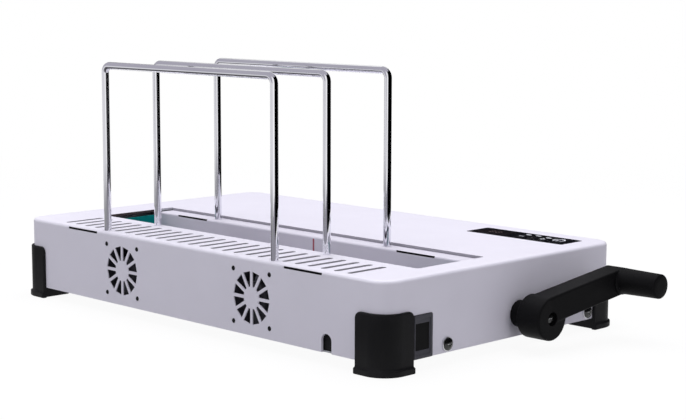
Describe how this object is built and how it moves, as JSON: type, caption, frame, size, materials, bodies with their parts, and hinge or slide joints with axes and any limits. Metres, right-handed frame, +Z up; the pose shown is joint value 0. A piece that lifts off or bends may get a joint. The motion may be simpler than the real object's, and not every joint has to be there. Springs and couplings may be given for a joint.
{
  "type": "thermal binding machine",
  "caption": "Tabletop thermal binder: heated trough, rack-driven clamp plate with side crank, wire book rests, fan-cooled vent strip and key panel.",
  "frame": {"origin": "centre of the bounding box at the underside of the feet", "axes": "+X along the trough to the crank side, +Y from the fan wall to the control panel, +Z up"},
  "size_m": [0.6305, 0.336, 0.256],
  "materials": {
    "casing_white": "smooth light powder coat",
    "pan_steel": "zinc-grey sheet",
    "foot_rubber": "matt moulded",
    "black_screws": "black oxide",
    "zinc_screws": "zinc plated",
    "bar_chrome": "polished",
    "clamp_paint": "light powder coat",
    "rod_steel": "ground",
    "gear_steel": "machined",
    "bush_bronze": "sintered bronze",
    "heater_metal": "milled",
    "element_foil": "foil heater mat",
    "insulation": "fibre board",
    "thermostat_body": "moulded",
    "guide_teal": "teal coat",
    "fan_plastic": "glass-filled",
    "crank_plastic": "moulded black",
    "inlet_plastic": "moulded",
    "pin_metal": "nickel-plated",
    "loom_black": "sleeved wires",
    "panel_gloss": "gloss black",
    "window_smoke": "smoked clear",
    "key_black": "satin black",
    "board_green": "solder-masked board",
    "part_mix": "moulded components"
  },
  "bodies": {
    "base": {"top_casing": "casing_white", "base_pan": "pan_steel", "foot_fan_left": "foot_rubber", "foot_fan_right": "foot_rubber", "foot_panel_left": "foot_rubber", "foot_panel_right": "foot_rubber", "foot_screws": "zinc_screws", "casing_screws": "black_screws", "rest_bar_rear": "bar_chrome", "rest_bar_middle": "bar_chrome", "rest_bar_nuts": "zinc_screws", "notch_grommet": "foot_rubber", "fan_frame_left": "fan_plastic", "fan_frame_right": "fan_plastic", "fan_screws": "black_screws", "air_baffle": "pan_steel", "fixed_jaw": "clamp_paint", "jaw_brackets": "pan_steel", "heater_plate": "heater_metal", "heating_element": "element_foil", "insulation_board": "insulation", "heater_posts": "zinc_screws", "thermostat": "thermostat_body", "end_guide_left": "guide_teal", "end_guide_right": "guide_teal", "guide_brackets": "pan_steel", "guide_bushes": "bush_bronze", "shaft_bearings": "pan_steel", "wall_bush": "crank_plastic", "bush_nut": "zinc_screws", "power_inlet": "inlet_plastic", "inlet_pins": "pin_metal", "wire_loom": "loom_black", "panel_plate": "panel_gloss", "display_window": "window_smoke", "key_switches": "part_mix", "control_board": "board_green", "board_posts": "part_mix", "power_board": "board_green", "power_parts": "part_mix"},
    "clamp": {"clamp_plate": "clamp_paint", "rack_left": "gear_steel", "rack_right": "gear_steel", "guide_rods": "rod_steel", "clamp_screws": "zinc_screws", "rest_bar_clamp": "bar_chrome", "clamp_bar_nuts": "zinc_screws"},
    "crank": {"cross_shaft": "rod_steel", "pinion_left": "gear_steel", "pinion_right": "gear_steel", "crank_arm": "crank_plastic", "crank_grip": "crank_plastic", "crank_screw": "black_screws"},
    "fan_rotor_left": {"fan_rotor_left": "fan_plastic"},
    "fan_rotor_right": {"fan_rotor_right": "fan_plastic"},
    "key_power": {"key_power": "key_black"},
    "key_minus": {"key_minus": "key_black"},
    "key_mode": {"key_mode": "key_black"},
    "key_plus": {"key_plus": "key_black"}
  },
  "joints": [
    {"name": "clamp_slide", "type": "slide", "parent": "base", "child": "clamp", "axis": [0, -1, 0], "range_m": [0, 0.0528]},
    {"name": "crank_turn", "type": "hinge", "parent": "base", "child": "crank", "pos_m": [0.22775, 0.0154, 0.0326], "axis": [1, 0, 0], "range_deg": [0, 168.06]},
    {"name": "fan_spin_left", "type": "hinge", "parent": "base", "child": "fan_rotor_left", "pos_m": [-0.1413, -0.15, 0.0466], "axis": [0, 1, 0], "continuous": true},
    {"name": "fan_spin_right", "type": "hinge", "parent": "base", "child": "fan_rotor_right", "pos_m": [0.0562, -0.15, 0.0466], "axis": [0, 1, 0], "continuous": true},
    {"name": "key_press_power", "type": "slide", "parent": "base", "child": "key_power", "axis": [0, 0, -1], "range_m": [0, 0.0008], "stiffness_N_per_m": 1500, "springref_m": -0.0005},
    {"name": "key_press_minus", "type": "slide", "parent": "base", "child": "key_minus", "axis": [0, 0, -1], "range_m": [0, 0.0008], "stiffness_N_per_m": 1500, "springref_m": -0.0005},
    {"name": "key_press_mode", "type": "slide", "parent": "base", "child": "key_mode", "axis": [0, 0, -1], "range_m": [0, 0.0008], "stiffness_N_per_m": 1500, "springref_m": -0.0005},
    {"name": "key_press_plus", "type": "slide", "parent": "base", "child": "key_plus", "axis": [0, 0, -1], "range_m": [0, 0.0008], "stiffness_N_per_m": 1500, "springref_m": -0.0005}
  ],
  "couplings": [
    {"joint": "clamp_slide", "follows": "crank_turn", "m_per_rad": 0.018}
  ]
}
